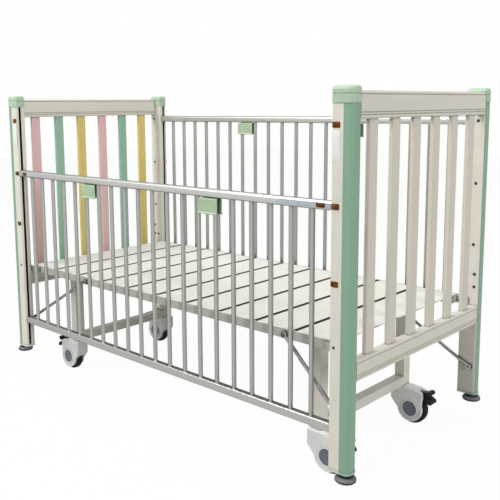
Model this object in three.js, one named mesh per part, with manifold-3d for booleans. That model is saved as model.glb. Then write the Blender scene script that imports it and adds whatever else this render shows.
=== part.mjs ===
// Pediatric hospital cot on four swivel castors, with two side rails that slide in the corner posts.
// Millimetres. +X points to the foot end, -Y to the near side, +Z up. The origin is on the floor,
// under the middle of the cot. The near rail stands at its middle height and the far rail is raised.
import * as THREE from 'three';
import { mergeVertices } from 'three/addons/utils/BufferGeometryUtils.js';
import Module from 'manifold-3d';

const wasm = await Module();
wasm.setup();

// Overall size and the gap kept between pieces that slide, turn or are cut to fit each other.
const COT_LENGTH = 1711;
const COT_WIDTH = 834;
const COT_HEIGHT = 1184;
const CLEAR = 0.3;

// Corner posts: a slotted extrusion whose outer end carries a clipped-on trim.
const POST_X = 67;
const POST_Y = 41;
const POST_BOTTOM = 116;
const POST_EDGE_RADIUS = 5;
const POST_OUTER_RADIUS = 16;
const POST_TURN_RADIUS = 8;
const SLOT_WIDTH = 10.6;
const SLOT_DEPTH = 22;
const SLOT_SETBACK = 16.8;
const TRIM_WIDTH = 30;
const TRIM_WALL = 3;
const CAP_HEIGHT = 46;
const CAP_PROUD = 1.5;
const CAP_GROOVE = 1.3;
const CAP_GROOVE_HEIGHT = 22;
const CAP_ROUND = 10;
const PLUG_HEIGHT = 8;
const PLUG_PROUD = 1.5;
const FOOT_RADIUS = 31;
const FOOT_DISC = 17;
const FOOT_NECK = 7;
const FOOT_SHIFT = 13;
const FOOT_NECK_RADIUS = 13;

// Head and foot boards: two grooved rails with upright slats between them.
const BOARD_THICKNESS = 31;
const BOARD_INSET = 2.5;
const TOP_RAIL_HEIGHT = 76;
const TOP_RAIL_DROP = 13;
const BOTTOM_RAIL_HEIGHT = 63;
const BOTTOM_RAIL_BASE = 371;
const RAIL_EDGE_RADIUS = 6;
const RAIL_GROOVE = 2.2;
const SLATS = 6;
const SLAT_END_GAP = 78.8;
const SLAT_WIDTH = 42;
const SLAT_THICKNESS = 15;
const SLAT_RADIUS = 4;

// Deck: a frame of beams under a panel that slits divide into planks.
const DECK_TOP = 468;
const DECK_PANEL = 4;
const DECK_END_GAP = 8;
const DECK_BEAM_WIDTH = 30;
const DECK_BEAM_HEIGHT = 26;
const PANEL_INSET = 2;
const PLANKS = 10;
const PLANK_SLIT = 10;
const PLANK_BORDER = 29;
const LUG_WALL = 8;
const LUG_ROOT = 40;
const LUG_INSET = 2;
const LUG_END_GAP = 2;

// Underframes: two columns and a low cross beam at each end of the deck.
const UNDERFRAME_END_GAP = 141.5;
const UNDERFRAME_SIDE_GAP = 112;
const COLUMN_X = 36;
const COLUMN_Y = 40;
const CROSS_BEAM_HEIGHT = 32;

// Stays: round rods with an eye at each end, between the deck beams and the posts. Two opposite corners
// have long ones, the other two short ones.
const STAY_DIAMETER = 11.4;
const STAY_EYE_RADIUS = 10;
const STAY_POST_HEIGHT = 212;
const STAY_POST_SETBACK = 44;
const STAY_LONG_REACH = 373;
const STAY_SHORT_REACH = 195;

// Castors: a swivelling housing with two cheeks, the wheel between them and a brake pedal.
const WHEEL_RADIUS = 57.5;
const WHEEL_FACETS = 32;
const TREAD_WIDTH = 25;
const TREAD_CHAMFER = 5;
const HUB_RADIUS = 26;
const HUB_RECESS = 1;
const CASTOR_WIDTH = 50;
const CASTOR_TRAIL = 45.5;
const CASTOR_CROWN = 77;
const CROWN_HALF = 28;
const CROWN_SHOULDER = 9;
const SKIRT_HEIGHT = 24;
const CHEEK_RADIUS = 47;
const WHEEL_ROOM = 3;
const STEM_RADIUS = 8;
const STEM_LENGTH = 38;
const PEDAL_X = 38;
const PEDAL_Z = 58;
const PEDAL_EAR = 9;
const PEDAL_HUB = 6.5;
const PEDAL_PIN = 3;
const PEDAL_PIN_SEAT = 5;
const PEDAL_WIDTH = 20;
const PADDLE_WIDTH = 38;
const PADDLE_START = 24;
const PADDLE_HALF = 8;
const PEDAL_UPPER = { reach: 40, angle: 16 };
const PEDAL_LOWER = { reach: 50, angle: -30 };

// Side rails: a rounded top tube and a squarer bottom tube joined by round spindles.
const RAIL_DROP = 63;
const RAIL_STEP = 213;
const RAIL_HEIGHT = 632;
const TOP_TUBE_Y = 26;
const TOP_TUBE_Z = 28;
const TOP_TUBE_RADIUS = 10;
const BOTTOM_TUBE_Y = 24;
const BOTTOM_TUBE_Z = 27;
const BOTTOM_TUBE_RADIUS = 4;
const RAIL_END_GAP = 0.6;
const SPINDLES = 20;
const SPINDLE_END_GAP = 71.6;
const SPINDLE_RADIUS = 7.5;
const BOLT_RADIUS = 4.9;
const BOLT_LENGTH = 60;
const BOLT_REACH = 16;
const LATCH_TRAVEL = 14;
const HANDLE_OFFSET = 24;
const HANDLE_LENGTH = 82;
const HANDLE_WIDTH = 23;
const HANDLE_HEIGHT = 52;
const HANDLE_WALL = 2.5;
const HANDLE_LIP = 3;
const HANDLE_LIP_RISE = 4;
const HANDLE_ROUND = 7;
const HANDLE_SLOT_ROOM = 1;

// Places that follow from the sizes above.
const halfLength = COT_LENGTH / 2;
const halfWidth = COT_WIDTH / 2;
const postInnerX = halfLength - POST_X;
const postInnerY = halfWidth - POST_Y;
const capBottom = COT_HEIGHT - CAP_HEIGHT;
const slotY = halfWidth - SLOT_SETBACK;
const boardX = halfLength - BOARD_INSET - BOARD_THICKNESS / 2;
const topRailTop = COT_HEIGHT - TOP_RAIL_DROP;
const topRailBase = topRailTop - TOP_RAIL_HEIGHT;
const bottomRailTop = BOTTOM_RAIL_BASE + BOTTOM_RAIL_HEIGHT;
const deckX = postInnerX - DECK_END_GAP;
const deckY = postInnerY - STAY_DIAMETER - 2 * CLEAR;
const deckBeamTop = DECK_TOP - DECK_PANEL;
const deckBeamBase = deckBeamTop - DECK_BEAM_HEIGHT;
const axleHeight = WHEEL_RADIUS * Math.cos(Math.PI / WHEEL_FACETS);
const castorTop = axleHeight + CASTOR_CROWN;
const columnBase = castorTop + CLEAR;
const railEndX = postInnerX - RAIL_END_GAP;
const railHigh = capBottom - RAIL_DROP;
const underframeX = deckX - UNDERFRAME_END_GAP;
const underframeY = deckY - UNDERFRAME_SIDE_GAP;
const slatPitch = (2 * (postInnerY - SLAT_END_GAP)) / (SLATS - 1);
const spindlePitch = (2 * (railEndX - SPINDLE_END_GAP)) / (SPINDLES - 1);

// Materials, one new one for each sub-part.
const BEIGE = 0xcdc9bb;
const MINT = 0x8db59b;
const CAP_MINT = 0xaccdb1;
const IVORY = 0xe9e6de;
const FRAME_GREY = 0x9a9a95;
const ALUMINIUM = 0xb4b5b2;
const CHROME = 0xc9cbcc;
const SHELL_GREY = 0xc9cac6;
const RUBBER = 0x1b1c1d;
const FOOT_GREY = 0x3a3d40;
const SLAT_COLOURS = [0xd0acae, 0x8fb79f, 0xcfbc68];

function finish(color, roughness, metalness = 0) {
  return new THREE.MeshStandardMaterial({ color, roughness, metalness });
}

const cot = new THREE.Group();
cot.name = 'pediatric_cot';

function addPart(name, geometry, material, parent = cot) {
  const mesh = new THREE.Mesh(geometry, material);
  mesh.name = name;
  parent.add(mesh);
  return mesh;
}

// Geometry helpers.

// Merge the corners of a shape, drop collapsed triangles and turn its faces outwards.
function closed(geometry) {
  const bare = geometry.clone();
  bare.deleteAttribute('normal');
  bare.deleteAttribute('uv');
  const merged = mergeVertices(bare, 1e-3);
  const place = merged.attributes.position;
  const kept = [];
  let volume = 0;
  const [a, b, c] = [new THREE.Vector3(), new THREE.Vector3(), new THREE.Vector3()];
  for (let i = 0; i < merged.index.count; i += 3) {
    const corner = [0, 1, 2].map((k) => merged.index.getX(i + k));
    if (new Set(corner).size < 3) continue;
    kept.push(...corner);
    a.fromBufferAttribute(place, corner[0]);
    b.fromBufferAttribute(place, corner[1]);
    c.fromBufferAttribute(place, corner[2]);
    volume += a.dot(b.cross(c)) / 6;
  }
  merged.setIndex(volume < 0 ? kept.reverse() : kept);
  merged.computeVertexNormals();
  return merged;
}

function toSolid(geometry) {
  const shell = closed(geometry);
  const vertProperties = shell.attributes.position.array;
  const triVerts = new Uint32Array(shell.index.array);
  return new wasm.Manifold(new wasm.Mesh({ numProp: 3, vertProperties, triVerts }));
}

function toGeometry(solid) {
  const mesh = solid.getMesh();
  const geometry = new THREE.BufferGeometry();
  geometry.setAttribute('position', new THREE.BufferAttribute(new Float32Array(mesh.vertProperties), 3));
  geometry.setIndex(new THREE.BufferAttribute(new Uint32Array(mesh.triVerts), 1));
  geometry.computeVertexNormals();
  return geometry;
}

function join(geometries) {
  return toGeometry(geometries.map(toSolid).reduce((sum, next) => sum.add(next)));
}

function cut(geometry, tools) {
  return toGeometry(tools.map(toSolid).reduce((rest, tool) => rest.subtract(tool), toSolid(geometry)));
}

function common(geometry, other) {
  return toGeometry(toSolid(geometry).intersect(toSolid(other)));
}

function arc(x, y, radius, from, to, steps = 4) {
  return Array.from({ length: steps + 1 }, (_, i) => {
    const angle = THREE.MathUtils.degToRad(from + ((to - from) * i) / steps);
    return [x + radius * Math.cos(angle), y + radius * Math.sin(angle)];
  });
}

function roundedOutline(x0, y0, x1, y1, radius, steps = 3) {
  return [
    ...arc(x1 - radius, y0 + radius, radius, -90, 0, steps),
    ...arc(x1 - radius, y1 - radius, radius, 0, 90, steps),
    ...arc(x0 + radius, y1 - radius, radius, 90, 180, steps),
    ...arc(x0 + radius, y0 + radius, radius, 180, 270, steps),
  ];
}

function shapeOf(points) {
  return new THREE.Shape(points.map(([x, y]) => new THREE.Vector2(x, y)));
}

const axisX = new THREE.Vector3(1, 0, 0);
const axisY = new THREE.Vector3(0, 1, 0);
const axisZ = new THREE.Vector3(0, 0, 1);
const turnToX = new THREE.Matrix4().makeBasis(axisY, axisZ, axisX);
const turnToY = new THREE.Matrix4().makeBasis(axisZ, axisX, axisY);

function extrude(shape, depth) {
  return new THREE.ExtrudeGeometry(shape, { depth, bevelEnabled: false });
}

// A prism along X, from an outline in (y, z).
function prismX(points, x0, x1) {
  return extrude(shapeOf(points), x1 - x0).applyMatrix4(turnToX).translate(x0, 0, 0);
}

// A prism along Y, from an outline in (x, z).
function prismY(points, y0, y1) {
  const shape = shapeOf(points.map(([x, z]) => [z, x]));
  return extrude(shape, y1 - y0).applyMatrix4(turnToY).translate(0, y0, 0);
}

// A prism along Z, from an outline in (x, y).
function prismZ(points, z0, z1) {
  return extrude(shapeOf(points), z1 - z0).translate(0, 0, z0);
}

function box(x0, x1, y0, y1, z0, z1) {
  const shape = new THREE.BoxGeometry(x1 - x0, y1 - y0, z1 - z0);
  return shape.translate((x0 + x1) / 2, (y0 + y1) / 2, (z0 + z1) / 2);
}

function roundBarX(radius, x0, x1, y, z, sides = 14) {
  const bar = new THREE.CylinderGeometry(radius, radius, x1 - x0, sides);
  return bar.rotateZ(Math.PI / 2).translate((x0 + x1) / 2, y, z);
}

function roundBarY(radius, y0, y1, x, z, sides = 16) {
  const bar = new THREE.CylinderGeometry(radius, radius, y1 - y0, sides);
  return bar.translate(x, (y0 + y1) / 2, z);
}

function roundBarZ(radius, z0, z1, x, y, sides = 10) {
  const bar = new THREE.CylinderGeometry(radius, radius, z1 - z0, sides);
  return bar.rotateX(Math.PI / 2).translate(x, y, (z0 + z1) / 2);
}

// A solid through a stack of outlines with equal point counts, closed at both ends.
function loft(rings) {
  const flat = rings[0].points.map(([x, y]) => new THREE.Vector2(x, y));
  const order = [...flat.keys()];
  if (THREE.ShapeUtils.isClockWise(flat)) order.reverse();
  const count = order.length;
  const positions = rings.flatMap(({ points, z }) => order.flatMap((i) => [...points[i], z]));
  const index = [];
  for (let ring = 0; ring + 1 < rings.length; ring += 1) {
    for (let i = 0; i < count; i += 1) {
      const low = ring * count;
      const next = (i + 1) % count;
      index.push(low + i, low + next, low + count + next);
      index.push(low + i, low + count + next, low + count + i);
    }
  }
  const lid = THREE.ShapeUtils.triangulateShape(order.map((i) => flat[i]), []);
  const top = (rings.length - 1) * count;
  for (const [a, b, c] of lid) index.push(a, c, b, top + a, top + b, top + c);
  const geometry = new THREE.BufferGeometry();
  geometry.setAttribute('position', new THREE.Float32BufferAttribute(positions, 3));
  geometry.setIndex(index);
  return geometry;
}

// Corner posts, trims, caps, plugs and feet.
// An outline is drawn in (u, v): u runs from the post's inner face to its outer end along the cot,
// v from its inner face to its outer face across the cot.

const corners = [
  { name: 'head_front', x: -1, y: -1 },
  { name: 'head_back', x: -1, y: 1 },
  { name: 'foot_front', x: 1, y: -1 },
  { name: 'foot_back', x: 1, y: 1 },
];

const atCorner = (corner) => ([u, v]) => [corner.x * (postInnerX + u), corner.y * (postInnerY + v)];

const TRIM_HOOK = -45;
const slotLow = POST_Y - SLOT_SETBACK - SLOT_WIDTH / 2;
const slotHigh = slotLow + SLOT_WIDTH;

function postOutline() {
  const seat = TRIM_WALL + CLEAR;
  const turn = POST_X - POST_TURN_RADIUS;
  const outer = POST_OUTER_RADIUS;
  return [
    ...arc(POST_EDGE_RADIUS, POST_EDGE_RADIUS, POST_EDGE_RADIUS, 180, 270, 3),
    ...arc(turn, POST_TURN_RADIUS, POST_TURN_RADIUS, -90, TRIM_HOOK, 2),
    ...arc(turn, POST_TURN_RADIUS, POST_TURN_RADIUS - seat, TRIM_HOOK, 0, 2),
    ...arc(POST_X - outer, POST_Y - outer, outer - seat, 0, 90, 4),
    [POST_X - TRIM_WIDTH, POST_Y - seat],
    [POST_X - TRIM_WIDTH, POST_Y],
    ...arc(POST_EDGE_RADIUS, POST_Y - POST_EDGE_RADIUS, POST_EDGE_RADIUS, 90, 180, 3),
    [0, slotHigh],
    [SLOT_DEPTH, slotHigh],
    [SLOT_DEPTH, slotLow],
    [0, slotLow],
  ];
}

function trimOutline() {
  const turn = POST_X - POST_TURN_RADIUS;
  const outer = POST_OUTER_RADIUS;
  const hook = TRIM_HOOK + THREE.MathUtils.radToDeg(CLEAR / (POST_TURN_RADIUS - TRIM_WALL));
  const end = POST_X - TRIM_WIDTH + CLEAR;
  return [
    ...arc(turn, POST_TURN_RADIUS, POST_TURN_RADIUS, hook, 0, 2),
    ...arc(POST_X - outer, POST_Y - outer, outer, 0, 90, 4),
    [end, POST_Y],
    [end, POST_Y - TRIM_WALL],
    ...arc(POST_X - outer, POST_Y - outer, outer - TRIM_WALL, 90, 0, 4),
    ...arc(turn, POST_TURN_RADIUS, POST_TURN_RADIUS - TRIM_WALL, 0, hook, 2),
  ];
}

// The post's full outline, grown or shrunk all round, with its own amount on the face that a rail passes.
function grownOutline(grow, railSide = grow) {
  const edge = Math.max(POST_EDGE_RADIUS + grow, CLEAR);
  const turn = Math.max(POST_TURN_RADIUS + grow, CLEAR);
  const outer = Math.max(POST_OUTER_RADIUS + grow, CLEAR);
  const [lowU, lowV, highU, highV] = [-railSide, -grow, POST_X + grow, POST_Y + grow];
  return [
    ...arc(lowU + edge, lowV + edge, edge, 180, 270, 3),
    ...arc(highU - turn, lowV + turn, turn, -90, 0, 3),
    ...arc(highU - outer, highV - outer, outer, 0, 90, 4),
    ...arc(lowU + edge, highV - edge, edge, 90, 180, 3),
  ];
}

function capRings(place) {
  const ring = (rise, grow) => ({ points: grownOutline(grow).map(place), z: capBottom + rise });
  const shoulder = CAP_HEIGHT - CAP_ROUND;
  const grooveTop = CAP_GROOVE_HEIGHT + 3 * CAP_GROOVE;
  const crown = [0, 30, 60, 90].map((angle) => {
    const turn = THREE.MathUtils.degToRad(angle);
    return ring(shoulder + CAP_ROUND * Math.sin(turn), CAP_PROUD - CAP_ROUND * (1 - Math.cos(turn)));
  });
  return [
    ring(0, CAP_PROUD),
    ring(CAP_GROOVE_HEIGHT, CAP_PROUD),
    ring(CAP_GROOVE_HEIGHT + CAP_GROOVE, CAP_PROUD - CAP_GROOVE),
    ring(grooveTop - CAP_GROOVE, CAP_PROUD - CAP_GROOVE),
    ring(grooveTop, CAP_PROUD),
    ...crown,
  ];
}

function footProfile() {
  const top = FOOT_DISC + FOOT_NECK;
  return [
    [0, 0],
    [FOOT_RADIUS - 3, 0],
    [FOOT_RADIUS, 3],
    [FOOT_RADIUS, FOOT_DISC / 2],
    [FOOT_RADIUS - 4, FOOT_DISC * 0.8],
    [FOOT_NECK_RADIUS, FOOT_DISC],
    [FOOT_NECK_RADIUS, top],
    [0, top],
  ];
}

function lathe(profile, segments) {
  return closed(new THREE.LatheGeometry(profile.map(([r, h]) => new THREE.Vector2(r, h)), segments));
}

const plugBase = POST_BOTTOM - PLUG_HEIGHT;

for (const corner of corners) {
  const place = atCorner(corner);
  const [footX, footY] = place([POST_X / 2 + FOOT_SHIFT, POST_Y / 2]);
  const foot = lathe(footProfile(), 24).rotateX(Math.PI / 2);
  foot.translate(footX, footY, plugBase - FOOT_DISC - FOOT_NECK);
  addPart(`post_${corner.name}`, prismZ(postOutline().map(place), POST_BOTTOM, capBottom), finish(BEIGE, 0.45));
  addPart(`trim_${corner.name}`, prismZ(trimOutline().map(place), POST_BOTTOM, capBottom), finish(MINT, 0.5));
  addPart(`cap_${corner.name}`, loft(capRings(place)), finish(CAP_MINT, 0.45));
  const plugOutline = grownOutline(PLUG_PROUD, 0).map(place);
  addPart(`plug_${corner.name}`, prismZ(plugOutline, plugBase, POST_BOTTOM), finish(BEIGE, 0.5));
  addPart(`foot_${corner.name}`, foot, finish(FOOT_GREY, 0.7));
}

// Head and foot boards.

// A rail's section in (x, z), with rounded edges and grooves that line its two faces.
function boardSection(side, base, top, grooves) {
  const half = BOARD_THICKNESS / 2;
  const radius = RAIL_EDGE_RADIUS;
  const groove = (x, inward, z) => [
    [x, z - RAIL_GROOVE],
    [x + inward * RAIL_GROOVE, z],
    [x, z + RAIL_GROOVE],
  ];
  const rising = grooves.flatMap((z) => groove(half, -1, z));
  const falling = [...grooves].reverse().flatMap((z) => groove(-half, 1, z).reverse());
  const outline = [
    ...arc(half - radius, base + radius, radius, -90, 0, 3),
    ...rising,
    ...arc(half - radius, top - radius, radius, 0, 90, 3),
    ...arc(-half + radius, top - radius, radius, 90, 180, 3),
    ...falling,
    ...arc(-half + radius, base + radius, radius, 180, 270, 3),
  ];
  return outline.map(([x, z]) => [side * boardX + x, z]);
}

const GROOVE_FROM_TOP = 10;
const GROOVES_FROM_BASE = [11, 18];

function boardRail(side, base, top) {
  const grooves = [...GROOVES_FROM_BASE.map((rise) => base + rise), top - GROOVE_FROM_TOP];
  return prismY(boardSection(side, base, top, grooves), -postInnerY, postInnerY);
}

// The top rail is cut back at both ends, where the post caps stand proud of the posts.
function boardTopRail(side) {
  const reach = halfLength + CAP_HEIGHT;
  const end = postInnerY - CAP_PROUD - CLEAR;
  const notch = (y0, y1) => box(-reach, reach, y0, y1, capBottom - CLEAR, COT_HEIGHT);
  return cut(boardRail(side, topRailBase, topRailTop), [notch(-halfWidth, -end), notch(end, halfWidth)]);
}

function slat(side, number) {
  const y = (number - (SLATS - 1) / 2) * slatPitch;
  const x = side * boardX;
  const [halfX, halfY] = [SLAT_THICKNESS / 2, SLAT_WIDTH / 2];
  return (base) => prismZ(
    roundedOutline(x - halfX, y - halfY, x + halfX, y + halfY, SLAT_RADIUS, 2),
    base,
    topRailBase,
  );
}

const slatNumbers = [...Array(SLATS).keys()];

addPart('head_top_rail', boardTopRail(-1), finish(BEIGE, 0.45));
addPart('head_bottom_rail', boardRail(-1, BOTTOM_RAIL_BASE, bottomRailTop), finish(BEIGE, 0.45));
addPart('foot_top_rail', boardTopRail(1), finish(BEIGE, 0.45));

for (const number of slatNumbers) {
  const colour = SLAT_COLOURS[number % SLAT_COLOURS.length];
  addPart(`head_slat_${number + 1}`, slat(-1, number)(bottomRailTop), finish(colour, 0.5));
}

// The foot slats share one finish with their bottom rail and are one welded grille with it.
const footGrille = [
  boardRail(1, BOTTOM_RAIL_BASE, bottomRailTop),
  ...slatNumbers.map((number) => slat(1, number)(bottomRailTop - RAIL_EDGE_RADIUS)),
];
addPart('foot_bottom_rail_and_slats', join(footGrille), finish(BEIGE, 0.45));

// Deck frame and panel.

// A lug that lies on the inner face of a post and is welded to the side of the deck frame.
function deckLug(corner) {
  const [near, far] = [deckX - LUG_ROOT, boardX - BOARD_THICKNESS / 2 - LUG_END_GAP];
  const face = postInnerY - CLEAR;
  const bend = deckX - LUG_INSET;
  const outline = [
    [near, deckY - LUG_INSET],
    [bend, deckY - LUG_INSET],
    [bend, face - LUG_WALL],
    [far, face - LUG_WALL],
    [far, face],
    [near, face],
  ];
  const placed = outline.map(([x, y]) => [corner.x * x, corner.y * y]);
  return prismZ(placed, deckBeamBase + LUG_INSET, deckBeamTop - LUG_INSET);
}

function deckFrame() {
  const beyond = deckX + DECK_BEAM_WIDTH;
  const innerY = deckY - DECK_BEAM_WIDTH;
  const endCross = COLUMN_X / 2 + LUG_INSET;
  const midCross = DECK_BEAM_WIDTH / 2;
  const bays = [
    [-beyond, -underframeX - endCross],
    [-underframeX + endCross, -midCross],
    [midCross, underframeX - endCross],
    [underframeX + endCross, beyond],
  ];
  const plate = box(-deckX, deckX, -deckY, deckY, deckBeamBase, deckBeamTop);
  const rooms = bays.map(([x0, x1]) => box(x0, x1, -innerY, innerY, deckBeamBase - 1, deckBeamTop + 1));
  return join([cut(plate, rooms), ...corners.map(deckLug)]);
}

function deckPanel() {
  const [edgeX, edgeY] = [deckX - PANEL_INSET, deckY - PANEL_INSET];
  const plate = shapeOf([[-edgeX, -edgeY], [edgeX, -edgeY], [edgeX, edgeY], [-edgeX, edgeY]]);
  const slitEnd = deckY - PLANK_BORDER;
  const plank = (2 * deckX) / PLANKS;
  for (let i = 1; i < PLANKS; i += 1) {
    const x = -deckX + i * plank;
    const half = PLANK_SLIT / 2;
    plate.holes.push(shapeOf(roundedOutline(x - half, -slitEnd, x + half, slitEnd, half - CLEAR, 2)));
  }
  return extrude(plate, DECK_PANEL).translate(0, 0, deckBeamTop);
}

addPart('deck_frame', deckFrame(), finish(FRAME_GREY, 0.45, 0.3));
addPart('deck_panel', deckPanel(), finish(IVORY, 0.5));

// Underframes.

function underframe(side) {
  const x = side * underframeX;
  const [halfX, halfY] = [COLUMN_X / 2, COLUMN_Y / 2];
  const column = (y) => box(x - halfX, x + halfX, y - halfY, y + halfY, columnBase, deckBeamBase);
  const beamTop = columnBase + CROSS_BEAM_HEIGHT;
  const beam = box(x - halfX, x + halfX, -underframeY, underframeY, columnBase, beamTop);
  const bore = (y) => roundBarZ(STEM_RADIUS + CLEAR, columnBase - 1, columnBase + STEM_LENGTH, x, y, 16);
  const frame = join([column(-underframeY), column(underframeY), beam]);
  return cut(frame, [bore(-underframeY), bore(underframeY)]);
}

addPart('underframe_head', underframe(-1), finish(BEIGE, 0.5));
addPart('underframe_foot', underframe(1), finish(BEIGE, 0.5));

// Stays, each lying between the outer face of a deck beam and the inner face of a post.

function stay(corner) {
  const reach = corner.x === corner.y ? STAY_LONG_REACH : STAY_SHORT_REACH;
  const y = corner.y * (postInnerY - CLEAR - STAY_DIAMETER / 2);
  const half = STAY_DIAMETER / 2;
  const low = new THREE.Vector3(corner.x * (postInnerX + STAY_POST_SETBACK), y, STAY_POST_HEIGHT);
  const high = new THREE.Vector3(corner.x * (postInnerX - reach), y, deckBeamBase + DECK_BEAM_HEIGHT / 2);
  const run = high.clone().sub(low);
  const rod = new THREE.CylinderGeometry(half, half, run.length(), 12);
  rod.applyQuaternion(new THREE.Quaternion().setFromUnitVectors(axisY, run.clone().normalize()));
  rod.translate(...low.clone().add(high).multiplyScalar(0.5).toArray());
  const eye = (end) => roundBarY(STAY_EYE_RADIUS, y - half, y + half, end.x, end.z, 18);
  return join([rod, eye(low), eye(high)]);
}

for (const corner of corners) {
  addPart(`stay_${corner.name}`, stay(corner), finish(CHROME, 0.2, 0.9));
}

// Castors. Each is drawn with its wheel axle at the origin, the swivel stem inboard of it and the
// pedal outboard, then set under its column and turned so that the pedal points away from the cot.

function housingOutline() {
  const crownIn = -CASTOR_TRAIL - CROWN_HALF;
  const crownOut = -CASTOR_TRAIL + CROWN_HALF;
  return [
    [crownOut, CASTOR_CROWN],
    [crownIn, CASTOR_CROWN],
    [crownIn, SKIRT_HEIGHT],
    ...arc(0, 0, CHEEK_RADIUS, 188, 380, 14),
    ...arc(PEDAL_X, PEDAL_Z, PEDAL_EAR, -10, 80, 4),
  ];
}

function castorHousing() {
  const half = CASTOR_WIDTH / 2;
  const roomHalf = (TREAD_WIDTH + WHEEL_ROOM) / 2;
  const pedalHalf = PEDAL_WIDTH / 2 + CLEAR;
  const pinEnd = pedalHalf + PEDAL_PIN_SEAT + CLEAR;
  const far = CASTOR_CROWN + CASTOR_TRAIL;
  const stemBase = CASTOR_CROWN - WHEEL_ROOM;
  const shoulders = roundedOutline(-half, -WHEEL_RADIUS - CROWN_SHOULDER, half, CASTOR_CROWN, CROWN_SHOULDER);
  const body = join([
    common(prismY(housingOutline(), -half, half), prismX(shoulders, -far, far)),
    roundBarZ(STEM_RADIUS, stemBase, CASTOR_CROWN + STEM_LENGTH, -CASTOR_TRAIL, 0, 16),
  ]);
  return cut(body, [
    roundBarY(WHEEL_RADIUS + WHEEL_ROOM, -roomHalf, roomHalf, 0, 0, 32),
    roundBarY(HUB_RADIUS + CLEAR, -CASTOR_WIDTH, CASTOR_WIDTH, 0, 0, 28),
    box(PEDAL_X - PEDAL_EAR - WHEEL_ROOM, far, -pedalHalf, pedalHalf, 0, far),
    roundBarY(PEDAL_PIN + CLEAR, -pinEnd, pinEnd, PEDAL_X, PEDAL_Z, 12),
  ]);
}

// The wheel stands on one facet of its tread.
function wheelProfile() {
  const tread = TREAD_WIDTH / 2;
  const hub = CASTOR_WIDTH / 2 - HUB_RECESS;
  const side = [
    [HUB_RADIUS, hub],
    [HUB_RADIUS, tread],
    [WHEEL_RADIUS - TREAD_CHAMFER, tread],
    [WHEEL_RADIUS, tread - TREAD_CHAMFER],
  ];
  const lower = side.map(([radius, y]) => [radius, -y]);
  return [[0, -hub], ...lower, ...side.reverse(), [0, hub]];
}

// One lobe of the pedal: a bar with a round tip, from one distance along a direction to its end.
function lobe({ reach, angle }, start, half) {
  const turn = THREE.MathUtils.degToRad(angle);
  const tip = reach - half;
  const outline = [[start, half], [start, -half], ...arc(tip, 0, half, -90, 90, 4)];
  return outline.map(([x, z]) => [
    PEDAL_X + x * Math.cos(turn) - z * Math.sin(turn),
    PEDAL_Z + x * Math.sin(turn) + z * Math.cos(turn),
  ]);
}

function pedal() {
  const pin = PEDAL_WIDTH / 2 + PEDAL_PIN_SEAT;
  const [armHalf, paddleHalf] = [PEDAL_WIDTH / 2, PADDLE_WIDTH / 2];
  const lobes = [PEDAL_UPPER, PEDAL_LOWER];
  return join([
    roundBarY(PEDAL_PIN, -pin, pin, PEDAL_X, PEDAL_Z, 12),
    roundBarY(PEDAL_HUB, -armHalf, armHalf, PEDAL_X, PEDAL_Z, 14),
    ...lobes.map((side) => prismY(lobe(side, 0, PADDLE_HALF - 1), -armHalf, armHalf)),
    ...lobes.map((side) => prismY(lobe(side, PADDLE_START, PADDLE_HALF), -paddleHalf, paddleHalf)),
  ]);
}

for (const corner of corners) {
  const castor = new THREE.Group();
  castor.position.set(corner.x * (underframeX + CASTOR_TRAIL), corner.y * underframeY, axleHeight);
  castor.rotation.z = corner.x < 0 ? Math.PI : 0;
  cot.add(castor);
  addPart(`castor_housing_${corner.name}`, castorHousing(), finish(SHELL_GREY, 0.4), castor);
  const wheel = lathe(wheelProfile(), WHEEL_FACETS).rotateY(Math.PI / WHEEL_FACETS);
  addPart(`castor_wheel_${corner.name}`, wheel, finish(RUBBER, 0.8), castor);
  addPart(`castor_pedal_${corner.name}`, pedal(), finish(RUBBER, 0.55), castor);
}

// Side rails, their latch bolts and their release handles.

const spindlePlaces = Array.from({ length: SPINDLES }, (_, i) => (i - (SPINDLES - 1) / 2) * spindlePitch);
const latchEnds = [{ name: 'head', x: -1 }, { name: 'foot', x: 1 }];

function span(a, b) {
  return [Math.min(a, b), Math.max(a, b)];
}

function railFrame(y, topZ) {
  const bottomZ = topZ - RAIL_HEIGHT;
  const topOutline = roundedOutline(
    y - TOP_TUBE_Y / 2, topZ - TOP_TUBE_Z / 2, y + TOP_TUBE_Y / 2, topZ + TOP_TUBE_Z / 2, TOP_TUBE_RADIUS, 4);
  const bottomOutline = roundedOutline(
    y - BOTTOM_TUBE_Y / 2, bottomZ - BOTTOM_TUBE_Z / 2, y + BOTTOM_TUBE_Y / 2, bottomZ + BOTTOM_TUBE_Z / 2,
    BOTTOM_TUBE_RADIUS, 2);
  const tubes = [prismX(topOutline, -railEndX, railEndX), prismX(bottomOutline, -railEndX, railEndX)];
  const spindles = spindlePlaces.map((x) => roundBarZ(SPINDLE_RADIUS, bottomZ, topZ, x, y, 8));
  const boreEnd = railEndX - (BOLT_LENGTH - BOLT_REACH) - LATCH_TRAVEL - 1;
  const bores = latchEnds.map((end) => (
    roundBarX(BOLT_RADIUS + CLEAR, ...span(end.x * boreEnd, end.x * (railEndX + 1)), y, topZ)));
  return cut(join([...tubes, ...spindles]), bores);
}

function latchBolt(end, y, topZ) {
  const tip = end.x * (railEndX + BOLT_REACH);
  const tail = end.x * (railEndX + BOLT_REACH - BOLT_LENGTH);
  return roundBarX(BOLT_RADIUS, ...span(tail, tip), y, topZ);
}

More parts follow.
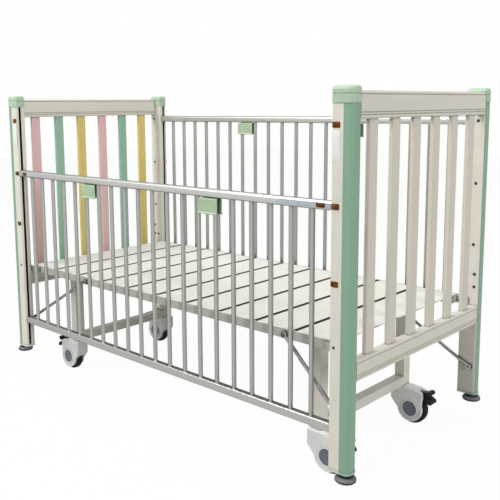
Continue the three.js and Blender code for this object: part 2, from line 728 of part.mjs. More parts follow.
// An inverted channel with round shoulders and a lip along both lower edges.
function handleOutline(y, top) {
  const [outer, inner] = [HANDLE_WIDTH / 2, HANDLE_WIDTH / 2 - HANDLE_WALL];
  const round = HANDLE_ROUND;
  const lipTop = -HANDLE_HEIGHT + HANDLE_WALL;
  const lipRoot = lipTop + HANDLE_LIP_RISE;
  const outline = [
    [outer + HANDLE_LIP, -HANDLE_HEIGHT],
    [outer + HANDLE_LIP, lipTop],
    [outer, lipRoot],
    ...arc(outer - round, -round, round, 0, 90, 4),
    ...arc(-outer + round, -round, round, 90, 180, 4),
    [-outer, lipRoot],
    [-outer - HANDLE_LIP, lipTop],
    [-outer - HANDLE_LIP, -HANDLE_HEIGHT],
    [-inner, -HANDLE_HEIGHT],
    ...arc(-outer + round, -round, round - HANDLE_WALL, 180, 90, 4),
    ...arc(outer - round, -round, round - HANDLE_WALL, 90, 0, 4),
    [inner, -HANDLE_HEIGHT],
  ];
  return outline.map(([across, up]) => [y + across, top + up]);
}

// The handle hangs over one spindle, counted from the rail's end, and its web is slotted for the
// spindles that it passes when it slides.
function handle(end, y, topZ, spindle) {
  const top = topZ - TOP_TUBE_Z / 2 - CLEAR;
  const middle = end.x * (spindlePlaces[SPINDLES - spindle] - HANDLE_OFFSET);
  const [x0, x1] = [middle - HANDLE_LENGTH / 2, middle + HANDLE_LENGTH / 2];
  const room = SPINDLE_RADIUS + HANDLE_SLOT_ROOM;
  const slots = spindlePlaces
    .map((x) => span(x - end.x * room, x + end.x * (room + LATCH_TRAVEL)))
    .filter(([low, high]) => high > x0 && low < x1)
    .map(([low, high]) => box(low, high, y - room, y + room, top - HANDLE_ROUND, top + 1));
  return cut(prismX(handleOutline(y, top), x0, x1), slots);
}

const rails = [
  { name: 'front', y: -slotY, top: railHigh - RAIL_STEP, handleSpindles: { head: 6, foot: 6 } },
  { name: 'back', y: slotY, top: railHigh, handleSpindles: { head: 7, foot: 6 } },
];

for (const rail of rails) {
  addPart(`rail_${rail.name}`, railFrame(rail.y, rail.top), finish(ALUMINIUM, 0.35, 0.7));
  for (const end of latchEnds) {
    const name = `${rail.name}_${end.name}`;
    addPart(`latch_bolt_${name}`, latchBolt(end, rail.y, rail.top), finish(CHROME, 0.3, 0.9));
    const grip = handle(end, rail.y, rail.top, rail.handleSpindles[end.name]);
    addPart(`latch_handle_${name}`, grip, finish(CAP_MINT, 0.45));
  }
}

export default cot;
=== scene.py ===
# %% [markdown]
# # A pediatric hospital cot, dressed in Blender
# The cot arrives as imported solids: posts, rails, boards, deck and castors, each in its true
# place. They could be modelled again here, but then they would drift from the moving model. So
# the solids stay as they are, and this lesson adds finishes and the small fittings on them.

import bmesh
import bpy
import numpy as np
from mathutils import Matrix


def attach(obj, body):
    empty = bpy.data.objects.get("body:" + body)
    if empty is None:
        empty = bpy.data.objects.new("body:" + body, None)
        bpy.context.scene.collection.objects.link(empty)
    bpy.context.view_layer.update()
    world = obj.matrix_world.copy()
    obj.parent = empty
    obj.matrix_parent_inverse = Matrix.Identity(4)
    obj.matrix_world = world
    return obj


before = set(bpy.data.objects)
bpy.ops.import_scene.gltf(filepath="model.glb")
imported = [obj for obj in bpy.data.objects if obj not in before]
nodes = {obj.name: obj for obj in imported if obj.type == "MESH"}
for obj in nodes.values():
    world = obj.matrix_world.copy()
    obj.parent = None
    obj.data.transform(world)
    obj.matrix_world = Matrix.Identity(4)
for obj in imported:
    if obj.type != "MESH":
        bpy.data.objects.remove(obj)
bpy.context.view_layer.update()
MM = 0.001

# %% [markdown]
# ## Colours and one way to add a node
# Paint colours are read off as screen hex values, while shaders work in linear light. One
# function converts them. A second small function adds any node, sets it up and links its inputs,
# which keeps each finish short enough to read as a recipe.

# %% Colour and node helpers
def linear(hex_colour):
    """sRGB to linear: c / 12.92 near black, ((c + 0.055) / 1.055) ** 2.4 above it."""
    value = np.array([int(hex_colour[i:i + 2], 16) for i in (1, 3, 5)]) / 255
    light = np.where(value <= 0.04045, value / 12.92, ((value + 0.055) / 1.055) ** 2.4)
    return (*light.tolist(), 1.0)


def add(tree, kind, links=None, values=None, **settings):
    """One node: settings are its properties, values its fixed inputs, links what feeds it."""
    node = tree.nodes.new(kind)
    for key, value in settings.items():
        setattr(node, key, value)
    for key, value in (values or {}).items():
        node.inputs[key].default_value = value
    for key, socket in (links or {}).items():
        tree.links.new(socket, node.inputs[key])
    return node


print("screen grey #808080 is", round(linear("#808080")[0], 3), "in linear light")

# %% [markdown]
# ## A finish with two scales of variation
# No painted, moulded or drawn surface is one flat colour. Each has a slow drift of tone over
# centimetres and a fine texture of a few millimetres that breaks up the gloss. Both are noise on
# object coordinates, so they are solid in space and never slide. A stretch along one axis turns
# the grain into the draw lines of an extrusion. No real edge is perfectly sharp either, so the
# shading normal is rounded near edges, which lets them catch the light. The colour darkens where
# a corner or groove closes a point in: painted shade, ambient occlusion put into the colour.
# Bare metal can have a rim tint, the colour it turns to at a grazing angle. The dark rim tints
# of the rails and stays are a painted reflection of a darker room.

# %% One recipe for every finish
NOISE_RANGE = {"From Min": 0.3, "From Max": 0.7}  # most of a noise texture lies in it
OPEN_RANGE = {"From Min": 0.3, "From Max": 0.9}  # from a closed corner to an open face
SEAM_REACH_MM = 8  # walls nearer than this close a point in
PAINTED_SHADE_DEPTH = 0.75  # share of the colour lost in the tightest corner
RELIEF_MM = 0.4  # height of the grain at full strength
DRIFT_DETAIL, GRAIN_DETAIL = 3.0, 2.0
CORNER_SAMPLES, EDGE_SAMPLES = 4, 6
COAT_ROUGHNESS = 0.15
MIX_A, MIX_B, MIX_RESULT = 6, 7, 2  # a Mix node's colour sockets, known only by number


def finish(name, light, dark, drift_mm, grain_mm, roughness, bump, spread=0.06, metallic=0.0,
           stretch=(1, 1, 1), coat=0.0, ior=1.5, edge_mm=1.2, rim=None):
    """Colour = mix(dark, light, drift) * (1 - painted corner shade); roughness = mean +- spread.
    """
    material = bpy.data.materials.new(name)
    material.use_nodes = True
    tree = material.node_tree
    shader = tree.nodes["Principled BSDF"]
    shader.inputs["Metallic"].default_value = metallic
    shader.inputs["Coat Weight"].default_value = coat
    shader.inputs["Coat Roughness"].default_value = COAT_ROUGHNESS
    if metallic < 0.5:
        shader.inputs["IOR"].default_value = ior
    if rim:
        shader.inputs["Specular Tint"].default_value = linear(rim)
    place = add(tree, "ShaderNodeTexCoord").outputs["Object"]
    pulled = add(tree, "ShaderNodeMapping", {"Vector": place}, {"Scale": stretch}).outputs[0]
    drift = add(tree, "ShaderNodeTexNoise", {"Vector": pulled},
                {"Scale": 1 / (drift_mm * MM), "Detail": DRIFT_DETAIL})
    tone = add(tree, "ShaderNodeMapRange", {"Value": drift.outputs["Fac"]}, NOISE_RANGE)
    colour = add(tree, "ShaderNodeMix", {"Factor": tone.outputs["Result"]},
                 {MIX_A: linear(dark), MIX_B: linear(light)}, data_type="RGBA")
    # Ambient occlusion darkens the colour in corners and grooves: painted shade.
    closed = add(tree, "ShaderNodeAmbientOcclusion", values={"Distance": SEAM_REACH_MM * MM},
                 samples=CORNER_SAMPLES)
    kept = add(tree, "ShaderNodeMapRange", {"Value": closed.outputs["AO"]},
               {**OPEN_RANGE, "To Min": 1 - PAINTED_SHADE_DEPTH, "To Max": 1.0})
    shaded_colour = add(tree, "ShaderNodeVectorMath",
                {0: colour.outputs[MIX_RESULT], "Scale": kept.outputs["Result"]},
                operation="SCALE", name="painted_shade_node")
    grain = add(tree, "ShaderNodeTexNoise", {"Vector": pulled},
                {"Scale": 1 / (grain_mm * MM), "Detail": GRAIN_DETAIL})
    gloss = add(tree, "ShaderNodeMapRange", {"Value": grain.outputs["Fac"]},
                {**NOISE_RANGE, "To Min": roughness - spread, "To Max": roughness + spread})
    softened = add(tree, "ShaderNodeBevel", values={"Radius": edge_mm * MM},
                   samples=EDGE_SAMPLES)
    relief = add(tree, "ShaderNodeBump",
                 {"Height": grain.outputs["Fac"], "Normal": softened.outputs["Normal"]},
                 {"Strength": bump, "Distance": RELIEF_MM * MM})
    tree.links.new(shaded_colour.outputs["Vector"], shader.inputs["Base Color"])
    tree.links.new(gloss.outputs["Result"], shader.inputs["Roughness"])
    tree.links.new(relief.outputs["Normal"], shader.inputs["Normal"])
    return material


print("seams darken within", SEAM_REACH_MM, "mm, by", PAINTED_SHADE_DEPTH, "at most")

# %% [markdown]
# ## The cot's paints and plastics
# The posts are aluminium extrusions under a beige powder coat, whose orange-peel relief is about
# 2 mm across. Boards, trims and caps are moulded or extruded plastic. The real orange peel is
# finer than a pixel here, so the grain is drawn a little coarser than it is. Black and amber
# plastics get an index of refraction below the usual 1.5, because the reflection of a white room
# would turn them grey.

# %% Painted metal and plastics
BOARD = dict(light="#D5D1C5", dark="#CBC7BA", drift_mm=160, grain_mm=3, roughness=0.4,
             bump=0.08, spread=0.05, stretch=(1, 0.1, 1))
SLAT = dict(drift_mm=90, grain_mm=3, roughness=0.45, bump=0.08, stretch=(1, 1, 0.1))
finishes = {
    # Posts: powder coat on an extrusion, a soft gloss with a faint orange peel.
    "post": finish("powder_coated_post", "#D6D2C6", "#CCC8BB", drift_mm=140, grain_mm=3,
                   roughness=0.42, bump=0.12, coat=0.1),
    # Base plugs: moulded plastic, a little duller than the posts that they close.
    "plug": finish("moulded_base_plug", "#CFCBBF", "#C2BEB1", drift_mm=60, grain_mm=2,
                   roughness=0.5, bump=0.1),
    # Boards: hollow plastic section, pulled along its length, with an even satin skin.
    "head_top": finish("extruded_board_beige", **BOARD),
    "foot_bottom": finish("extruded_foot_beige", **BOARD),
    # Trims: extruded vinyl, pulled upright, so its lines run along the post.
    "trim": finish("extruded_vinyl_trim", "#80A48B", "#74977F", drift_mm=90, grain_mm=2,
                   roughness=0.45, bump=0.1, spread=0.07, stretch=(1, 1, 0.04)),
    # Caps and handles: moulded ABS with a fine spark-eroded grain.
    "cap": finish("moulded_mint_abs", "#A7BFA4", "#9CB399", drift_mm=50, grain_mm=1.6,
                  roughness=0.42, bump=0.16),
    "latch_handle": finish("moulded_pale_handle", "#A4B99A", "#98AD8E", drift_mm=40,
                           grain_mm=1.6, roughness=0.42, bump=0.14),
    # Head slats: painted sections, drawn upright, with the soft gloss of paint.
    "pink": finish("painted_slat_pink", "#D6B4B4", "#CAA7A7", **SLAT),
    "green": finish("painted_slat_green", "#92B7A1", "#86AB95", **SLAT),
    "yellow": finish("painted_slat_yellow", "#D3C075", "#C6B267", **SLAT),
    # Deck planks: pale laminate with a dry, even surface.
    "deck_panel": finish("ivory_plank_laminate", "#DEDDD4", "#D4D3CA", drift_mm=220, grain_mm=3,
                         roughness=0.5, bump=0.08, stretch=(0.3, 1, 1)),
    # Deck frame and underframes: welded steel under powder coat, plain and nearly matt.
    "deck_frame": finish("grey_powder_coat", "#B3B1A8", "#A4A299", drift_mm=120, grain_mm=3,
                         roughness=0.5, bump=0.12),
    "underframe": finish("powder_coated_underframe", "#D8D4C9", "#CBC7BB", drift_mm=120,
                         grain_mm=3, roughness=0.45, bump=0.12),
    # Castors: a smooth moulded shell, a black nylon pedal and a dull rubber tyre.
    "castor_housing": finish("moulded_castor_shell", "#ECEDEA", "#E1E2DF", drift_mm=70,
                             grain_mm=2, roughness=0.42, bump=0.12),
    "castor_pedal": finish("black_pedal_nylon", "#0D0F12", "#08090B", drift_mm=40, grain_mm=2,
                           roughness=0.5, bump=0.2, spread=0.08, ior=1.3),
    "castor_wheel": finish("black_tyre_rubber", "#0F1011", "#090A0A", drift_mm=40, grain_mm=2,
                           roughness=0.7, bump=0.25, spread=0.08, ior=1.3),
    # Feet: moulded buffer rubber, grey and dry.
    "foot": finish("grey_buffer_rubber", "#696C6F", "#5B5E61", drift_mm=40, grain_mm=2,
                   roughness=0.65, bump=0.2, spread=0.08),
}
print(len(finishes), "paints and plastics")

# %% [markdown]
# ## Metals and small finishes
# The rails are anodised tube, drawn along its length, and the stays are chromed rod. The small
# fittings get finishes of their own, which set each off from the face it sits on.

# %% Metals
# The grey rim tint darkens the tubes at grazing angles, a painted reflection of a darker room.
ANODISED = dict(light="#B2B3AF", dark="#A7A8A4", drift_mm=90, grain_mm=3, roughness=0.3,
                bump=0.006, spread=0.02, metallic=0.9, stretch=(0.05, 1, 0.05), edge_mm=4,
                rim="#6A6A6A")
finishes.update({
    # Rails: level tubes and upright spindles, drawn along both, so the glint is long and soft.
    "rail_front": finish("anodised_tube_front", **ANODISED),
    "rail_back": finish("anodised_tube_back", **ANODISED),
    # Stays: chromed rod, a clear mirror; a black rim tint darkens its edges: painted reflection.
    "stay": finish("chromed_rod", "#A6A8AA", "#94969A", drift_mm=60, grain_mm=3,
                   roughness=0.12, bump=0.02, spread=0.03, metallic=1.0, rim="#000000"),
    # Latch bolts: ground steel, bright with a fine blur.
    "latch_bolt": finish("ground_steel_bolt", "#B9BBBC", "#A5A7A8", drift_mm=30, grain_mm=2,
                         roughness=0.3, bump=0.05, metallic=1.0),
    # Screws: zinc plate on the stays, blackened steel on the posts.
    "screw": finish("zinc_screw_head", "#7E7F80", "#646566", drift_mm=12, grain_mm=1.5,
                    roughness=0.36, bump=0.08, spread=0.08, metallic=0.8),
    "dark_screw": finish("blackened_screw_head", "#35332F", "#262422", drift_mm=12,
                         grain_mm=1.5, roughness=0.45, bump=0.08, spread=0.08),
})
print(len(finishes), "finishes with the metals")

# %% Finishes of the small fittings
finishes.update({
    # Wear plates: painted sheet, blue-grey and satin.
    "plate": finish("blue_grey_wear_plate", "#B2B8C0", "#9DA3AB", drift_mm=18, grain_mm=2,
                    roughness=0.42, bump=0.1),
    # Markers: clouded amber plastic, glossy from the mould.
    "marker": finish("amber_marker_plastic", "#7E4B05", "#2E1702", drift_mm=8, grain_mm=2,
                     roughness=0.34, bump=0.05, spread=0.05, ior=1.2),
    # Stickers: bare coated paper, smooth and nearly matt.
    "sticker": finish("bare_paper_sticker", "#E0E1DC", "#D7D8D3", drift_mm=40, grain_mm=2,
                      roughness=0.55, bump=0.05, spread=0.05),
    # Gap strips and slot sheets: dark sheets in plank gaps and post slots, painted shadow.
    "shadow_strip": finish("painted_gap_shadow", "#0F0D0B", "#090807", drift_mm=60, grain_mm=3,
                           roughness=0.7, bump=0.1, ior=1.3),
    "slot_liner": finish("black_slot_liner", "#1B1A19", "#131211", drift_mm=60, grain_mm=3,
                         roughness=0.7, bump=0.1),
    # Hub covers: moulded slate plastic with a low gloss.
    "hub": finish("slate_hub_cover", "#66717C", "#59636D", drift_mm=20, grain_mm=2,
                  roughness=0.4, bump=0.1),
})
print(len(finishes), "finishes in all")

# %% [markdown]
# ## Second tones past a plane
# The top and bottom tubes of each rail get lighter tones than the spindles between them, the top
# tube most: painted highlight, for the glint of the ceiling along the tubes. The slats of the
# foot board are a shade warmer than the rail they stand on. A foot gets a dark neck and a dark
# rim: painted shade. A base plug is green where it shows under the green trim. Each of these is
# one solid. It could be cut into pieces, but a second tone past a plane gives the same look and
# leaves the solid whole.

# %% Two-tone solids
SOFT_MM = 1.0  # width of the change from one tone to the other


def tone_past(material, edge, direction, tone, axis="Z"):
    """Base colour = tone where direction * (place - edge) > 0 along an axis, else as it was."""
    tree = material.node_tree
    painted_shade_node = tree.nodes["painted_shade_node"]
    before = painted_shade_node.inputs[0].links[0].from_socket
    place = add(tree, "ShaderNodeTexCoord").outputs["Object"]
    along = add(tree, "ShaderNodeSeparateXYZ", {"Vector": place}).outputs[axis]
    reach = direction * SOFT_MM / 2
    share = add(tree, "ShaderNodeMapRange", {"Value": along},
                {"From Min": (edge - reach) * MM, "From Max": (edge + reach) * MM})
    colour = add(tree, "ShaderNodeMix", {"Factor": share.outputs["Result"], MIX_A: before},
                 {MIX_B: linear(tone)}, data_type="RGBA")
    tree.links.new(colour.outputs[MIX_RESULT], painted_shade_node.inputs[0])


# Millimetres: heights above the floor, drops below a top tube's middle, and a place along X.
rail_top = {"front": 862.0, "back": 1075.0}
spindle_top_drop, spindle_foot_drop = 14, 618
foot_slats_from = 434.5
foot_neck_shade_from, foot_rim_shade_to = 99, 91.5
trim_from = 825.8
# Lighter tones on the top and bottom tubes: painted highlight.
for side, middle in rail_top.items():
    tone_past(finishes[f"rail_{side}"], middle - spindle_top_drop, 1, "#C6C6C1")
    tone_past(finishes[f"rail_{side}"], middle - spindle_foot_drop, -1, "#B4B4AF")
tone_past(finishes["foot_bottom"], foot_slats_from, 1, "#C9C3B5")
# A dark neck and a dark rim on each foot: painted shade.
tone_past(finishes["foot"], foot_neck_shade_from, 1, "#1F2123")
tone_past(finishes["foot"], foot_rim_shade_to, -1, "#2B2D30")
for end in (-1, 1):
    tone_past(finishes["plug"], end * trim_from, end, "#8AAC94", axis="X")
print("tubes, foot slats, feet and plugs toned")

# %% [markdown]
# ## Dress the solids
# Each solid keeps its own mesh and takes a finish by the first words of its name. The slats of
# the head board repeat pink, green and yellow. The board rails share one beige, and the lower
# rail of the foot board has its own copy of it, because its slats take a second tone.

# %% Assign finishes to the solids
aliases = {"head_bottom": "head_top", "foot_top": "head_top"}
slat_colours = ["pink", "green", "yellow"]


def finish_of(node_name):
    """A head slat's finish follows from its number, any other from the longest key that fits."""
    if node_name.startswith("head_slat"):
        return finishes[slat_colours[(int(node_name[-1]) - 1) % len(slat_colours)]]
    keys = [key for key in (*finishes, *aliases) if node_name.startswith(key)]
    key = max(keys, key=len)
    return finishes[aliases.get(key, key)]


for node_name, solid in nodes.items():
    solid.data.materials.clear()
    solid.data.materials.append(finish_of(node_name))
print("dressed", len(nodes), "solids")

# %% [markdown]
# ## Meshes from grids
# A fitting is a surface point(u, v) on a grid. Computed as one array, it needs no loop over
# points, and several grids can share one mesh. Seams and poles meet exactly, so merging them
# closes the surface, and edges sharper than about 35 degrees stay crisp.

# %% From grids to pieces
MERGE_M = 1e-6
CRISP_ANGLE = 0.6  # in radians


def grid_mesh(name, grids):
    """Quads (i, j), (i + 1, j), (i + 1, j + 1), (i, j + 1) over grids of points in metres."""
    points, quads, start = [], [], 0
    for grid in grids:
        rows, columns = grid.shape[:2]
        index = np.arange(rows * columns).reshape(rows, columns) + start
        quad = [index[:-1, :-1], index[1:, :-1], index[1:, 1:], index[:-1, 1:]]
        quads.append(np.stack(quad, axis=-1).reshape(-1, 4))
        points.append(grid.reshape(-1, 3))
        start += rows * columns
    mesh = bpy.data.meshes.new(name)
    mesh.from_pydata(np.concatenate(points).tolist(), [], np.concatenate(quads).tolist())
    return mesh


def make_piece(name, grids, finish_name, body):
    """One mesh from its grids, merged, turned outwards and shaded smooth, that rides a body."""
    mesh = grid_mesh(name, grids)
    shape = bmesh.new()
    shape.from_mesh(mesh)
    bmesh.ops.remove_doubles(shape, verts=shape.verts, dist=MERGE_M)
    bmesh.ops.recalc_face_normals(shape, faces=shape.faces)
    shape.to_mesh(mesh)
    shape.free()
    mesh.polygons.foreach_set("use_smooth", np.ones(len(mesh.polygons), dtype=bool))
    mesh.set_sharp_from_angle(angle=CRISP_ANGLE)
    mesh.materials.append(finishes[finish_name])
    piece = bpy.data.objects.new(name, mesh)
    bpy.context.scene.collection.objects.link(piece)
    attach(piece, body)
    print(name, len(mesh.polygons), "faces on", body)


print("edges past", round(np.degrees(CRISP_ANGLE)), "degrees stay crisp")

# %% [markdown]
# ## Amber markers
# Amber buttons on each post show the three heights where a rail locks, and a longer one on each
# rail end points at them. They could be flat tiles, but a real moulded button catches light on a
# crown, so each is a superellipse that shrinks as it rises.

# %% Raised pads
def pad(centre, half_wide, half_tall, crown, outward, power, steps=48):
    """|x/a|^p + |z/b|^p = 1 on a face across Y, shrunk and raised by (share, rise) pairs."""
    turn = np.linspace(0, 2 * np.pi, steps + 1)
    wave = np.stack([np.cos(turn), np.sin(turn)], axis=-1)
    outline = np.sign(wave) * np.abs(wave) ** (2 / power) * [half_wide, half_tall]
    share, rise = np.asarray(crown, float).T
    flat = share[:, None, None] * outline
    depth = np.broadcast_to(rise[:, None] * outward, flat.shape[:2])
    points = np.stack([flat[..., 0], depth, flat[..., 1]], axis=-1)
    return (np.asarray(centre, float) + points) * MM


def dome(height, steps=7):
    """Share cos t and rise height * sin t for t up to a quarter turn: a crown closed on top."""
    t = np.linspace(0, np.pi / 2, steps)
    return np.stack([np.cos(t), height * np.sin(t)], axis=-1)


print("a crown rises in", len(dome(1.0)), "rings")

# %% Markers on posts and rail ends
corners = {"head_front": (-1, -1), "head_back": (-1, 1),
           "foot_front": (1, -1), "foot_back": (1, 1)}
post_face, fittings_x = 417.0, 803  # a post's outer face in Y, and its line of fittings in X
slot_y = 400.2  # the middle of a post's slot, where a rail slides
rail_y = {"front": -slot_y, "back": slot_y}
lock_heights = [1081.0, 862.0, 649.0]
marker_power, marker_sunk = 7, 0.4
rail_marker_x, rail_marker_seat = 752, 13.5  # on the wear plate, from the tube's middle
make_piece("post_markers", [
    pad((x * fittings_x, y * (post_face - marker_sunk), z), half_wide=13, half_tall=8.5,
        crown=dome(3.4), outward=y, power=marker_power)
    for x, y in corners.values() for z in lock_heights], "marker", "frame")
for side, y in rail_y.items():
    out = np.sign(y)
    make_piece(f"rail_markers_{side}", [
        pad((x * rail_marker_x, y + out * rail_marker_seat, rail_top[side]), half_wide=15,
            half_tall=6.5, crown=dome(2.8), outward=out, power=marker_power)
        for x in (-1, 1)], "marker", f"rail_{side}")

# %% [markdown]
# ## Wear plates and bare stickers
# The outer face of each top tube carries a thin plate near its ends, where hands grip it. A
# paper sticker sits on each near post under the top marker. Its print is left off, so only the
# paper shows. Both are thin superellipses with square sides and tight corners.

# %% Plates on the top tubes, stickers on the near posts
sheet = [(1, 0), (1, 0.4), (0.985, 0.6), (0, 0.6)]
sheet_steps = 96
plate_x, plate_seat = 691, 12.95  # on the tube's face, from its middle
sticker_height = 1025
for side, y in rail_y.items():
    out = np.sign(y)
    make_piece(f"wear_plates_{side}", [
        pad((x * plate_x, y + out * plate_seat, rail_top[side]), half_wide=94, half_tall=7.5,
            crown=sheet, outward=out, power=20, steps=sheet_steps)
        for x in (-1, 1)], "plate", f"rail_{side}")
make_piece("bare_stickers", [
    pad((x * fittings_x, -post_face, sticker_height), half_wide=13.5, half_tall=42,
        crown=sheet, outward=-1, power=14, steps=sheet_steps)
    for x in (-1, 1)], "sticker", "frame")

# %% [markdown]
# ## Screws and washers
# Small button-head screws hold the lock parts and the deck lugs to the posts, and a screw on a
# washer holds each end of a stay. A screw head is a turned profile: a flat washer, a rounded
# crown and the dip of its drive socket.

# %% Turned screw heads
def turned(profile, centre, axis, steps=28):
    """Centre + height * axis + radius * (cos * side + sin * up), for (radius, height) pairs."""
    profile = np.asarray(profile, float)
    axis = np.asarray(axis, float)
    up = np.array([0.0, 0.0, 1.0])
    turn = np.linspace(0, 2 * np.pi, steps + 1)[:, None]
    circle = np.cos(turn) * np.cross(axis, up) + np.sin(turn) * up
    points = profile[None, :, 1, None] * axis + profile[None, :, 0, None] * circle[:, None, :]
    return (np.asarray(centre, float) + points) * MM


def screw_head(radius, height, washer=1.45, socket=0.42, depth=0.45):
    """Washer 1 mm thick, crown as a quarter ellipse, then a round socket with a flat floor."""
    t = np.linspace(0, np.pi / 2, 6)[:-1]
    crown = np.stack([radius * (socket + (1 - socket) * np.cos(t)),
                      1 + (height - 1) * np.sin(t)], axis=-1)
    rim = [(radius * washer, 0), (radius * washer, 1), (radius, 1)]
    dip = [(radius * socket, height), (radius * socket, height * depth), (0, height * depth)]
    return np.concatenate([rim, crown, dip])


print("a screw head has", len(screw_head(1.0, 2.0)), "rings")

# %% Screws on posts and stays
lug_screw_height = 470
inner_face = 376
# Along X and height on a post's inner face: three lock heights, then the deck's lug.
inner_places = [(830, 1075), (830, 862), (830, 649), (838, 545), (838, 500), (812, 500)]
long_stay_x, short_stay_x = 415.5, 593.5
stay_top_y, stay_top_height = 375.7, 451
stay_foot = (832.5, 364.3, 212)
lug_screws, inner_screws, stay_tops, stay_feet = [], [], [], []
for x, y in corners.values():
    lug_screws.append(turned(screw_head(radius=2.8, height=2.4),
                             (x * fittings_x, y * post_face, lug_screw_height), (0, y, 0)))
    inner_screws += [turned(screw_head(radius=3.6, height=2.6),
                            (x * along, y * inner_face, z), (0, -y, 0))
                     for along, z in inner_places]
    stay_x = long_stay_x if x == y else short_stay_x
    stay_tops.append(turned(screw_head(radius=4, height=3.5),
                            (x * stay_x, y * stay_top_y, stay_top_height), (0, y, 0)))
    stay_feet.append(turned(screw_head(radius=3.4, height=3),
                            np.multiply(stay_foot, (x, y, 1)), (0, -y, 0)))
make_piece("post_screws", lug_screws + inner_screws, "dark_screw", "frame")
make_piece("stay_screws", stay_tops + stay_feet, "screw", "frame")

# %% [markdown]
# ## Painted shadow: plank gaps and post slots
# The gaps between the planks show shade, not the floor, and so do the deep slots in the posts.
# Dark sheets put there paint that shade: painted shadow. A strip has a T section: its web fills
# the slit and its thin flange laps the planks on both sides. The sheet in a slot covers its
# bottom and its two walls.

# %% Closed strips
def strip(low, high):
    """A box between two corners: a ring of four points carried along the longest side."""
    low, high = np.asarray(low, float), np.asarray(high, float)
    order = np.argsort(high - low)
    ring = np.zeros((5, 3))
    ring[:, order[0]] = np.array([low, high, high, low, low])[:, order[0]]
    ring[:, order[1]] = np.array([low, low, high, high, low])[:, order[1]]
    middle = ring[:-1].mean(axis=0)
    rows = []
    for end in (low, high):
        edge, hub = ring.copy(), np.tile(middle, (5, 1))
        edge[:, order[2]] = hub[:, order[2]] = end[order[2]]
        rows.append((edge, hub))
    return np.stack([rows[0][1], rows[0][0], rows[1][0], rows[1][1]]) * MM


print("a strip has", len(strip((0, 0, 0), (1, 2, 3))), "rings, two of them shrunk to end points")

# %% Strips between the planks, liners in the slots
deck_length, planks = 1561, 10
gaps = -deck_length / 2 + deck_length / planks * np.arange(1, planks)
web_half, flange_half = (4.9, 334.5), (7.5, 361)  # along X and Y
web_heights, flange_heights = (464.05, 467.9), (467.95, 468.3)
# Dark strips in the gaps between the planks: painted shadow.
plank_gap_shadows = []
for (half_x, half_y), (low, high) in [(web_half, web_heights), (flange_half, flange_heights)]:
    plank_gap_shadows += [strip((x - half_x, -half_y, low), (x + half_x, half_y, high)) for x in gaps]
make_piece("plank_gap_shadows", plank_gap_shadows, "shadow_strip", "frame")

# Painted shadow in a slot, bottom and two walls: from and to along X, then from and to across it.
shadow_walls = [(809.7, 810.4, -5.2, 5.2), (790, 809.7, -5.26, -5.1), (790, 809.7, 5.1, 5.26)]
shadow_foot, shadow_top = 120, 1134
# Dark sheets on a slot's bottom and walls: painted shadow.
slot_shadow_sheets = []
for x, y in corners.values():
    for near, far, low, high in shadow_walls:
        ends = [(x * near, y * slot_y + low, shadow_foot), (x * far, y * slot_y + high, shadow_top)]
        slot_shadow_sheets.append(strip(*np.sort(ends, axis=0)))
make_piece("slot_liners", slot_shadow_sheets, "slot_liner", "frame")

# %% [markdown]
# ## Castor hubs
# A slate-blue cover closes each side of a wheel's hub, inside a raised rim on the housing. Both
# are turned about the axle. The cover rides the wheel and the rim rides the housing, so each
# moves as it does on the real castor.

# %% Hub covers and cheek rims
wheel_radius, wheel_facets = 57.5, 32
axle_height = wheel_radius * np.cos(np.pi / wheel_facets)  # the wheel stands on one flat facet
castor_x, castor_y = 684.5, 252
cover_seat, rim_seat = 24, 25
cover = [(25.6, 0), (25.6, 1.0), (24.0, 1.8), (17, 2.2), (15.5, 1.4), (8, 1.4), (7, 2.6),
         (0, 3.0)]
cheek_rim = [(27.2, -0.2), (27.2, 1.4), (28.2, 2.0), (31.5, 2.0), (32.8, 1.2), (32.8, -0.2)]
for corner, (x, y) in corners.items():
    covers, rims = [
        [turned(profile, (x * castor_x, y * castor_y + side * seat, axle_height), (0, side, 0))
         for side in (-1, 1)]
        for profile, seat in [(cover, cover_seat), (cheek_rim, rim_seat)]]
    make_piece(f"hub_covers_{corner}", covers, "hub", f"castor_wheel_{corner}")
    make_piece(f"cheek_rims_{corner}", rims, "castor_housing", f"castor_housing_{corner}")

# %% [markdown]
# ## Floor and white room
# The cot stands on a pale floor in an evenly lit white room. Floor and room could be lit until
# they turn white, but that would flood the cot with light. So they glow white only to the camera
# and to reflections, and to all other rays the floor is matt and the room dim. The floor also
# shows the camera a little of its matt side, which keeps a faint shadow.

# %% Floor
FLOOR_REACH_M = 14
GLOW_SHARE = 0.95
WHITE = linear("#FFFFFF")


def seen_directly(tree):
    """Camera ray + glossy ray + transmission ray: 1 where a ray is a look, 0 where it is light."""
    path = add(tree, "ShaderNodeLightPath").outputs
    total = path["Is Camera Ray"]
    for ray in ("Is Glossy Ray", "Is Transmission Ray"):
        total = add(tree, "ShaderNodeMath", {0: total, 1: path[ray]}, operation="ADD").outputs[0]
    return total


def floor_finish():
    """Mix of a matt grey and a white glow, where the glow's share is 0.95 * seen directly."""
    material = bpy.data.materials.new("pale_floor")
    material.use_nodes = True
    tree = material.node_tree
    tree.nodes.clear()
    share = add(tree, "ShaderNodeMath", {0: seen_directly(tree)}, {1: GLOW_SHARE},
                operation="MULTIPLY")
    matt = add(tree, "ShaderNodeBsdfDiffuse", values={"Color": linear("#BABABA")})
    glow = add(tree, "ShaderNodeEmission", values={"Color": WHITE, "Strength": 1.02})
    mixed = add(tree, "ShaderNodeMixShader",
                {0: share.outputs[0], 1: matt.outputs[0], 2: glow.outputs[0]})
    add(tree, "ShaderNodeOutputMaterial", {"Surface": mixed.outputs[0]})
    return material


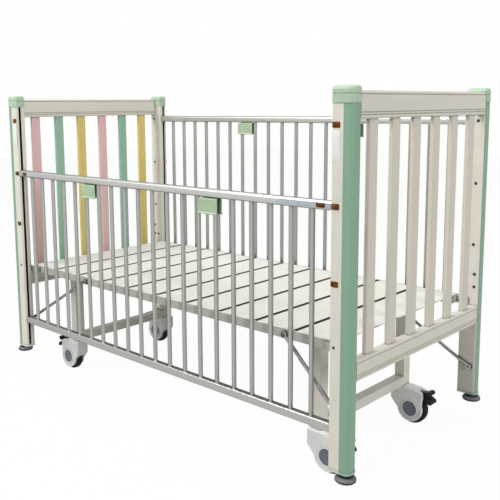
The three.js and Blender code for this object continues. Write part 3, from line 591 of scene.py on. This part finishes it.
span = np.linspace(-FLOOR_REACH_M, FLOOR_REACH_M, 3)
across, along = np.meshgrid(span, span, indexing="ij")
floor_mesh = grid_mesh("floor", [np.stack([across, along, np.zeros_like(across)], axis=-1)])
floor_mesh.materials.append(floor_finish())
floor = bpy.data.objects.new("floor", floor_mesh)
bpy.context.scene.collection.objects.link(floor)
print("floor", 2 * FLOOR_REACH_M, "m wide")

# %% White room
world = bpy.data.worlds.new("white_room")
bpy.context.scene.world = world
world.use_nodes = True
tree = world.node_tree
tree.nodes.clear()
dim = add(tree, "ShaderNodeBackground", values={"Color": WHITE, "Strength": 0.28})
white = add(tree, "ShaderNodeBackground", values={"Color": WHITE, "Strength": 1.0})
either = add(tree, "ShaderNodeMixShader",
             {0: seen_directly(tree), 1: dim.outputs[0], 2: white.outputs[0]})
add(tree, "ShaderNodeOutputWorld", {"Surface": either.outputs[0]})
print("white room ready")

# %% [markdown]
# ## Lamps
# Three large soft lamps shape the cot: one from the left front, a far and stronger one from the
# right, and a weak one overhead. Small lamps would draw hard shadows of every spindle, so each
# lamp is metres wide.

# %% Soft lamps
def soft_lamp(name, place, target, size, watts):
    """A square area lamp whose -Z axis points from its place to its target."""
    lamp = bpy.data.lights.new(name, "AREA")
    lamp.size, lamp.energy = size, watts
    holder = bpy.data.objects.new(name, lamp)
    back = np.asarray(place, float) - np.asarray(target, float)
    back /= np.linalg.norm(back)
    side = np.cross([0, 0, 1.0], back)
    side /= np.linalg.norm(side)
    turn = np.column_stack([side, np.cross(back, side), back])
    holder.matrix_world = Matrix.Translation(place) @ Matrix(turn.tolist()).to_4x4()
    bpy.context.scene.collection.objects.link(holder)
    print(name, watts, "W")


cot_middle = (0, 0, 0.6)
soft_lamp("window_left", (-2.4, -4.2, 5.2), cot_middle, size=3.0, watts=385)
soft_lamp("window_right", (14.0, -3.2, 6.2), cot_middle, size=6.0, watts=1130)
soft_lamp("ceiling", (0.2, -0.3, 4.4), cot_middle, size=3.4, watts=62)

# %% [markdown]
# ## Camera
# The camera's place, angles and focal length were fitted to edges and corners of the cot. The
# cot sits off the middle of the view's axis, so the lens is shifted, which keeps upright lines
# as they are. A turned camera would frame it too, but would lean them.

# %% Fitted camera
PHOTO_PX = 500
FOCAL_PX = 729.480
AXIS_PX = (212, 209.29)  # where the view's axis meets the picture
SENSOR_MM = 36.0
camera_place = (1.920787, -2.031929, 1.131417)
yaw, pitch, roll = np.radians([44.373, -8.007, -0.610])
forward = np.array([-np.sin(yaw) * np.cos(pitch), np.cos(yaw) * np.cos(pitch), np.sin(pitch)])
level = np.array([np.cos(yaw), np.sin(yaw), 0.0])
upright = np.cross(level, forward)
right = np.cos(roll) * level + np.sin(roll) * upright
upward = np.cos(roll) * upright - np.sin(roll) * level
lens = bpy.data.cameras.new("photo_camera")
lens.sensor_width = SENSOR_MM
lens.lens = FOCAL_PX / PHOTO_PX * SENSOR_MM
lens.shift_x = (PHOTO_PX / 2 - AXIS_PX[0]) / PHOTO_PX
lens.shift_y = (AXIS_PX[1] - PHOTO_PX / 2) / PHOTO_PX
camera = bpy.data.objects.new("photo_camera", lens)
turn = Matrix(np.column_stack([right, upward, -forward]).tolist()).to_4x4()
camera.matrix_world = Matrix.Translation(camera_place) @ turn
bpy.context.scene.collection.objects.link(camera)
bpy.context.scene.camera = camera
bpy.context.scene.view_settings.view_transform = "Standard"
print("camera at", [round(value, 3) for value in camera.location])

# %% [markdown]
# ## The end
# Fittings may stand a few millimetres proud, but never change the cot's size.

# %% Update and finish
bpy.context.view_layer.update()
